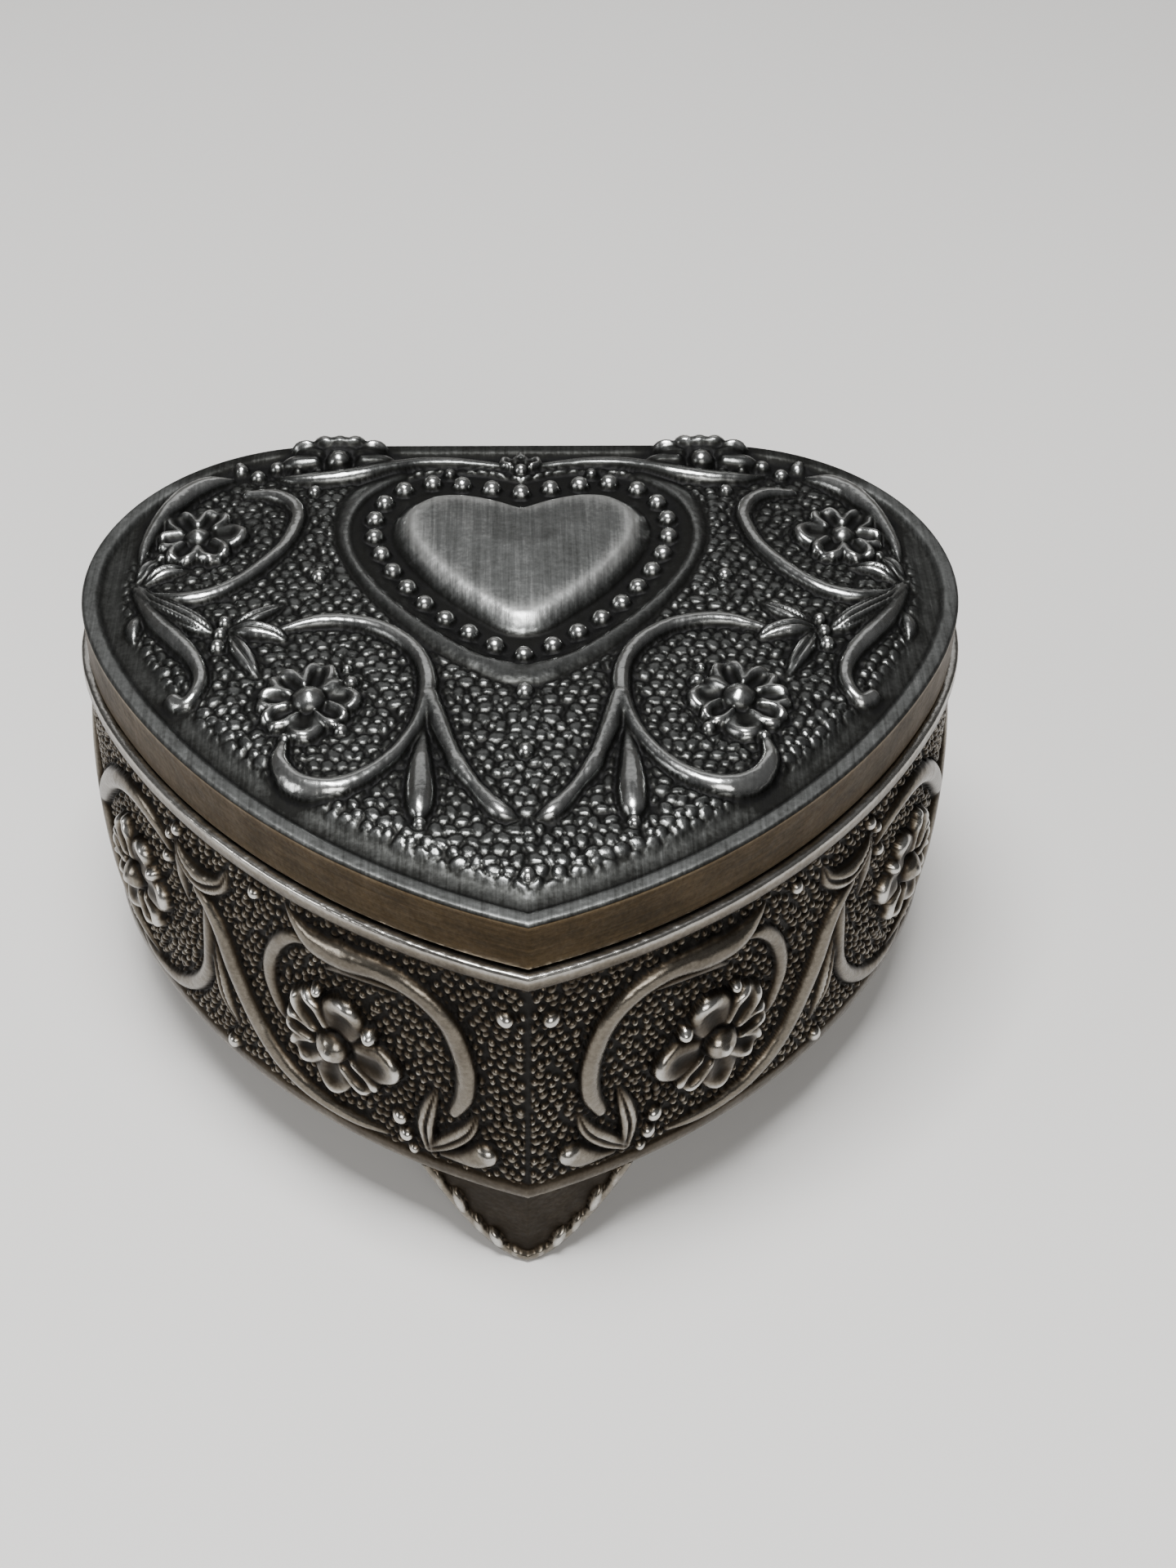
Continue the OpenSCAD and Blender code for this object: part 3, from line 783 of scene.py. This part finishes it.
def rumple(x, y, seed, pitch=9.0):
    """A soft seeded unevenness from -1 to 1, as glued velvet has."""
    rng = np.random.default_rng(seed)
    waves = rng.uniform(0.6, 1.4, (6, 1)) * 2 * np.pi / pitch
    turns = rng.uniform(0, np.pi, (6, 1))
    shifts = rng.uniform(0, 2 * np.pi, (6, 1))
    along = np.ravel(x) * np.cos(turns) + np.ravel(y) * np.sin(turns)
    return (np.sin(along * waves + shifts).sum(0) / 6).reshape(np.shape(x))


def pad_height(x, y, inset_by):
    """Height of a pad as a part of its thickness: rolled at the edge and slightly crowned."""
    q = inset(x, y) - inset_by
    roll = np.sqrt(np.clip(1 - (1 - np.clip(q, 0, 1.2) / 1.2) ** 2, 0, 1))
    crown = 0.80 + 0.16 * smooth(q / 16) + 0.04 * rumple(x, y, seed=5)
    return 0.12 + (crown - 0.12) * roll


def heart_pad(name, node, body, inset_by, facing, velvet):
    """A velvet pad in the shape of the heart, flat on the side that is glued down."""
    low, high = [corner[2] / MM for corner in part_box(node)]
    s = np.linspace(0, HALF_LENGTH, 161)
    rings = [outline_ring(s, -inset_by - away) for away in (0, .12, .3, .55, .85, 1.2, 1.6)]
    outer = len(rings[0])
    field = lattice(1.1)
    field = field[inset(field[:, 0], field[:, 1]) > inset_by + 2.1]
    plan, top = triangulate(np.vstack(rings + [field]), outer)
    up = (high - low) * pad_height(plan[:, 0], plan[:, 1], inset_by)
    verts = np.vstack([np.c_[plan, up], np.c_[plan[:outer], np.zeros(outer)]])
    verts[:, 2] = low + verts[:, 2] if facing > 0 else high - verts[:, 2]
    ring = np.arange(outer)
    under = len(plan) + ring
    side = np.c_[ring, under, np.roll(under, -1), np.roll(ring, -1)]
    pad = make_object(name, verts, top.tolist() + side.tolist() + [under[::-1].tolist()])
    finish_velvet(pad, node, body, velvet)


LINING_T = 1.1
LINING_TOP_R = 0.6
LINING_FOOT_R = 0.8


def lining_section(low, high):
    """The lining's section as a loop of (d, z): up its face, over, down its back and under."""
    middle = -WALL_T - LINING_T / 2
    turn = np.linspace(0, np.pi, 9)[1:-1]
    top_z = high - LINING_TOP_R
    foot_z = low + LINING_FOOT_R
    face = [(-WALL_T - LINING_T, z) for z in np.linspace(foot_z, top_z, 34)]
    top = [(middle - LINING_T / 2 * math.cos(a), top_z + LINING_TOP_R * math.sin(a)) for a in turn]
    back = [(-WALL_T - 0.02, z) for z in (top_z, low + 10, foot_z)]
    foot = [(middle + LINING_T / 2 * math.cos(a), foot_z - LINING_FOOT_R * math.sin(a))
            for a in turn]
    return np.array(face + top + back + foot)


def wall_lining(velvet):
    """Velvet over thin wadding, glued round the inside of the wall."""
    low, high = [corner[2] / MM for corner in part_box("wall_velvet")]
    section = lining_section(low, high)
    half = np.linspace(0, HALF_LENGTH, 181)
    side = np.r_[np.ones(len(half)), -np.ones(len(half) - 2)]
    d, s = np.meshgrid(section[:, 0], np.r_[half, half[1:-1][::-1]], indexing="ij")
    z = np.broadcast_to(section[:, 1:], d.shape)
    soft = (d < -WALL_T - 0.4) & (z > low + 2)
    d = d + soft * 0.09 * (1 + rumple(s * side, z, seed=9, pitch=14))
    x, y = on_outline(s, d, side)
    a = np.arange(d.size).reshape(d.shape)
    b = np.roll(a, -1, 0)
    faces = np.stack([a, b, np.roll(b, -1, 1), np.roll(a, -1, 1)], -1).reshape(-1, 4)
    lining = make_object("wall_velvet_lining", np.c_[x.ravel(), y.ravel(), z.ravel()],
                         faces.tolist())
    finish_velvet(lining, "wall_velvet", "box", velvet)


def finish_velvet(pad, node, body, velvet):
    pad.data.materials.append(velvet)
    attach(pad, body)
    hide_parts(node)


# ---- materials ----

class Shader:
    """A node material built a step at a time."""

    def __init__(self, name):
        self.material = bpy.data.materials.new(name)
        self.material.use_nodes = True
        self.tree = self.material.node_tree
        self.tree.nodes.clear()
        self.output = self.add("ShaderNodeOutputMaterial")
        self.surface = self.add("ShaderNodeBsdfPrincipled")
        self.tree.links.new(self.surface.outputs["BSDF"], self.output.inputs["Surface"])
        self.place = self.add("ShaderNodeTexCoord").outputs["Object"]

    def add(self, kind, **settings):
        node = self.tree.nodes.new(kind)
        for key, value in settings.items():
            setattr(node, key, value)
        return node

    def link(self, value, socket):
        if hasattr(value, "is_linked"):
            self.tree.links.new(value, socket)
        else:
            socket.default_value = value

    def math(self, operation, a, b=0.0, c=0.0):
        node = self.add("ShaderNodeMath", operation=operation)
        for value, socket in zip((a, b, c), node.inputs):
            self.link(value, socket)
        return node.outputs[0]

    def attribute(self, name):
        return self.add("ShaderNodeAttribute", attribute_name=name).outputs["Fac"]

    def noise(self, scale, detail=4.0, stretch=None, rotation=0.0, roughness=0.55):
        place = self.place
        if stretch:
            mapping = self.add("ShaderNodeMapping")
            self.link(place, mapping.inputs["Vector"])
            mapping.inputs["Rotation"].default_value = (0, 0, rotation)
            mapping.inputs["Scale"].default_value = stretch
            place = mapping.outputs[0]
        node = self.add("ShaderNodeTexNoise")
        self.link(place, node.inputs["Vector"])
        node.inputs["Scale"].default_value = scale
        node.inputs["Detail"].default_value = detail
        node.inputs["Roughness"].default_value = roughness
        return node.outputs["Fac"]

    def ramp(self, value, stops):
        """Colours at positions from 0 to 1; a stop is (position, grey) or (position, colour)."""
        node = self.add("ShaderNodeValToRGB")
        self.link(value, node.inputs["Fac"])
        elements = node.color_ramp.elements
        while len(elements) < len(stops):
            elements.new(0.5)
        for element, (position, colour) in zip(elements, stops):
            element.position = position
            colour = colour if isinstance(colour, tuple) else (colour,) * 3
            element.color = (*colour, 1)
        return node.outputs["Color"]

    def bump(self, height, strength, distance, normal=None):
        node = self.add("ShaderNodeBump")
        node.inputs["Strength"].default_value = strength
        node.inputs["Distance"].default_value = distance
        self.link(height, node.inputs["Height"])
        if normal is not None:
            self.link(normal, node.inputs["Normal"])
        return node.outputs[0]

    def set(self, **values):
        for key, value in values.items():
            self.link(value, self.surface.inputs[key.replace("_", " ")])
        return self.material


def pewter(name, stops, brushed, worn=0.0):
    """Antiqued pewter plate: black in the recesses, bright where fingers and cloths have rubbed.

    brushed is the scale of the brushing lines along x, y and z, and worn is added to a mesh's own wear.
    """
    sh = Shader(name)
    wear = sh.attribute("wear")
    satin = sh.attribute("satin")
    grime = sh.noise(260, detail=6)
    grain = sh.noise(2600, detail=3)
    patch = sh.noise(60, detail=3)
    lines = sh.noise(1, detail=4, stretch=brushed, rotation=math.radians(-9), roughness=0.7)
    level = sh.math("MULTIPLY_ADD", sh.math("SUBTRACT", grime, 0.5), 0.22, wear)
    level = sh.math("MULTIPLY_ADD", sh.math("SUBTRACT", grain, 0.5), 0.20, level)
    level = sh.math("MULTIPLY_ADD", sh.math("SUBTRACT", patch, 0.5), 0.12, level)
    scratched = sh.math("MULTIPLY_ADD", satin, 0.34, 0.08)
    level = sh.math("MULTIPLY_ADD", sh.math("SUBTRACT", lines, 0.5), scratched, level)
    level = sh.math("ADD", level, worn)
    colour = sh.ramp(level, stops)
    polish = sh.ramp(level, [(0.1, 0.60), (0.42, 0.38), (0.75, 0.22)])
    roughness = sh.math("MULTIPLY_ADD", sh.math("SUBTRACT", lines, 0.5), 0.2, polish)
    roughness = sh.math("MULTIPLY_ADD", satin, 0.2, roughness)
    metal = sh.ramp(level, [(0.05, 0.55), (0.35, 1.0)])
    normal = sh.bump(sh.noise(420, detail=2), 0.45, 0.0004)
    normal = sh.bump(grain, 0.22, 0.00006, normal)
    normal = sh.bump(sh.math("MULTIPLY", lines, scratched), 1.0, 0.00006, normal)
    sh.surface.inputs["Specular IOR Level"].default_value = 0.25
    return sh.set(Base_Color=colour, Roughness=roughness, Metallic=metal, Normal=normal)


def velvet_material():
    sh = Shader("velvet")
    pile = sh.noise(5200, detail=2)
    nap = sh.noise(70, detail=4, stretch=(1, 0.45, 1))
    level = sh.math("MULTIPLY_ADD", sh.math("SUBTRACT", pile, 0.5), 0.5, nap)
    colour = sh.ramp(level, [(0.2, (0.060, 0.002, 0.006)), (0.5, (0.120, 0.004, 0.013)),
                             (0.8, (0.190, 0.009, 0.026))])
    normal = sh.bump(pile, 0.7, 0.00016)
    normal = sh.bump(nap, 0.35, 0.0008, normal)
    sh.set(Base_Color=colour, Roughness=0.92, Normal=normal)
    sh.surface.inputs["Sheen Weight"].default_value = 0.45
    sh.surface.inputs["Sheen Roughness"].default_value = 0.35
    sh.surface.inputs["Sheen Tint"].default_value = (0.8, 0.2, 0.26, 1)
    sh.surface.inputs["Specular IOR Level"].default_value = 0.2
    return sh.material


def steel_material():
    sh = Shader("hinge_steel")
    lines = sh.noise(1, detail=4, stretch=(90, 90, 3200), roughness=0.7)
    stain = sh.noise(240, detail=6)
    level = sh.math("MULTIPLY_ADD", sh.math("SUBTRACT", lines, 0.5), 0.6, stain)
    colour = sh.ramp(level, [(0.25, (0.05, 0.047, 0.044)), (0.5, (0.20, 0.20, 0.205)),
                             (0.75, (0.42, 0.42, 0.43))])
    roughness = sh.ramp(level, [(0.3, 0.55), (0.7, 0.3)])
    normal = sh.bump(lines, 0.35, 0.00004)
    return sh.set(Base_Color=colour, Roughness=roughness, Metallic=1.0, Normal=normal)


def card_material():
    sh = Shader("card")
    fibre = sh.noise(1, detail=6, stretch=(420, 1500, 900))
    blotch = sh.noise(90, detail=3)
    level = sh.math("MULTIPLY_ADD", sh.math("SUBTRACT", fibre, 0.5), 0.7, blotch)
    colour = sh.ramp(level, [(0.3, (0.20, 0.13, 0.075)), (0.7, (0.42, 0.30, 0.19))])
    return sh.set(Base_Color=colour, Roughness=0.85, Normal=sh.bump(fibre, 0.5, 0.0001))


def floor_material():
    sh = Shader("studio_floor")
    tone = sh.noise(3, detail=2)
    colour = sh.ramp(tone, [(0.3, (0.60, 0.59, 0.575)), (0.7, (0.64, 0.63, 0.615))])
    return sh.set(Base_Color=colour, Roughness=0.7)


# pewter colours from the darkest recess to the most worn edge, as (level, colour)
COOL = [(0.08, (0.003, 0.003, 0.003)), (0.30, (0.012, 0.012, 0.011)), (0.48, (0.045, 0.046, 0.044)),
        (0.68, (0.145, 0.149, 0.146)), (0.97, (0.47, 0.475, 0.465))]
# the body's brown is partly its own dark brown patina and partly a painted reflection of warm wood
BROWN_PATINA_AND_WOOD_REFLECTION = [(0.08, (0.004, 0.003, 0.002)), (0.30, (0.018, 0.013, 0.008)), (0.5, (0.058, 0.048, 0.036)),
        (0.70, (0.175, 0.157, 0.13)), (0.97, (0.52, 0.51, 0.485))]
# the band's brown tint is a painted reflection of warm wood, over the pewter's own dark recesses and
# worn edges
BAND_PATINA_AND_WOOD_REFLECTION = [(0.08, (0.006, 0.004, 0.002)), (0.30, (0.026, 0.018, 0.009)),
           (0.5, (0.072, 0.049, 0.025)), (0.70, (0.165, 0.13, 0.08)), (0.97, (0.46, 0.43, 0.36))]
ALONG_Y = (2600, 70, 400)
LEVEL_LINES = (60, 60, 2600)


# ---- the set: floor, lights and camera ----

FLOOR_REACH = 4.0
SWEEP_START = 0.9                # where the floor begins to curve up into the backdrop
SWEEP_R = 0.5
BACKDROP_H = 1.6


def build_floor():
    """A pale floor that sweeps up into a backdrop."""
    mesh = bpy.data.meshes.new("studio_floor")
    side_view = [(-FLOOR_REACH, 0.0)]
    for turn in np.linspace(0, np.pi / 2, 24):
        side_view.append((SWEEP_START + SWEEP_R * math.sin(turn), SWEEP_R * (1 - math.cos(turn))))
    side_view.append((SWEEP_START + SWEEP_R, BACKDROP_H))
    verts = [(x, y, z) for y, z in side_view for x in (-FLOOR_REACH, FLOOR_REACH)]
    faces = [(2 * k, 2 * k + 1, 2 * k + 3, 2 * k + 2) for k in range(len(side_view) - 1)]
    mesh.from_pydata(verts, [], faces)
    mesh.shade_smooth()
    mesh.materials.append(floor_material())
    obj = bpy.data.objects.new("studio_floor", mesh)
    bpy.context.scene.collection.objects.link(obj)


def area_light(name, place, target, size, power, colour=(1, 1, 1)):
    data = bpy.data.lights.new(name, "AREA")
    data.shape = "RECTANGLE"
    data.size, data.size_y = size
    data.energy = power
    data.color = colour
    lamp = bpy.data.objects.new(name, data)
    lamp.location = place
    lamp.rotation_euler = (Vector(target) - Vector(place)).to_track_quat("-Z", "Y").to_euler()
    bpy.context.scene.collection.objects.link(lamp)


def build_lights():
    target = (0, 0, 0.03)
    area_light("top_box", (-0.04, -0.06, 0.60), target, (0.26, 0.20), 7.0)
    area_light("front_key", (0.06, -0.72, 0.46), target, (0.5, 0.3), 4.0, (1, 0.98, 0.95))
    area_light("back_panel", (0, 0.75, 0.66), target, (0.9, 0.35), 0.8)
    area_light("left_fill", (-0.70, -0.25, 0.30), target, (0.25, 0.25), 1.6)
    world = bpy.data.worlds.new("studio")
    world.use_nodes = True
    background = world.node_tree.nodes["Background"]
    background.inputs["Color"].default_value = (1, 1, 1, 1)
    background.inputs["Strength"].default_value = 0.16
    bpy.context.scene.world = world


CAMERA_PLACE = (-0.0020, -0.1801, 0.2042)
CAMERA_DOWN, CAMERA_YAW, CAMERA_ROLL = [math.radians(a) for a in (43.72, 2.8, 1.49)]
CAMERA_LENS = 54.07


def build_camera():
    data = bpy.data.cameras.new("camera")
    data.lens = CAMERA_LENS
    data.sensor_width = 36.0
    data.sensor_fit = "AUTO"
    data.clip_start = 0.01
    camera = bpy.data.objects.new("camera", data)
    level = math.cos(CAMERA_DOWN)
    ahead = Vector((math.sin(CAMERA_YAW) * level, math.cos(CAMERA_YAW) * level,
                    -math.sin(CAMERA_DOWN)))
    right = Vector((math.cos(CAMERA_YAW), -math.sin(CAMERA_YAW), 0))
    up = right.cross(ahead)
    turned_right = right * math.cos(CAMERA_ROLL) + up * math.sin(CAMERA_ROLL)
    turned_up = up * math.cos(CAMERA_ROLL) - right * math.sin(CAMERA_ROLL)
    axes = [turned_right, turned_up, -ahead]
    matrix = camera.matrix_world.copy()
    for column, axis in enumerate(axes):
        for row in range(3):
            matrix[row][column] = axis[row]
        matrix[column][3] = CAMERA_PLACE[column]
    camera.matrix_world = matrix
    bpy.context.scene.collection.objects.link(camera)
    bpy.context.scene.camera = camera


def finish_cad_node(name, material):
    """Gives a carried-over CAD node its material."""
    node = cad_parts[name]
    node.data.materials.clear()
    node.data.materials.append(material)


def main():
    velvet = velvet_material()
    steel = steel_material()
    card = card_material()
    materials = {
        "pewter": pewter("pewter", COOL, ALONG_Y),
        # body, feet and base plate: their brown is partly patina, partly a painted reflection of warm
        # wood
        "body": pewter("pewter_body", BROWN_PATINA_AND_WOOD_REFLECTION, LEVEL_LINES),
        # band: its brown tint is a painted reflection of warm wood
        "band": pewter("pewter_band", BAND_PATINA_AND_WOOD_REFLECTION, LEVEL_LINES),
        "foot": pewter("pewter_foot", BROWN_PATINA_AND_WOOD_REFLECTION, LEVEL_LINES),
    }
    build_lid(materials)
    build_half_body("body_casting_right", 1, 23, materials)
    build_half_body("body_casting_left", -1, 37, materials)
    build_foot("front_foot_casting", "front_foot", 0, 1, materials)
    build_foot("rear_right_foot_casting", "rear_right_foot", REAR_FOOT_S, 1, materials)
    build_foot("rear_left_foot_casting", "rear_left_foot", REAR_FOOT_S, -1, materials)
    heart_pad("floor_velvet_pad", "floor_velvet", "box", 3.5, 1, velvet)
    heart_pad("lid_velvet_pad", "lid_velvet", "lid", 2.2, -1, velvet)
    wall_lining(velvet)
    finish_cad_node("base_plate", pewter("pewter_plate", BROWN_PATINA_AND_WOOD_REFLECTION, ALONG_Y, worn=0.38))
    for name in ("body_hinge_leaf", "lid_hinge_leaf", "hinge_pin", "body_hinge_rivets",
                 "lid_hinge_rivets"):
        finish_cad_node(name, steel)
    for name in ("floor_card", "lid_card"):
        finish_cad_node(name, card)
    build_floor()
    build_lights()
    build_camera()


main()
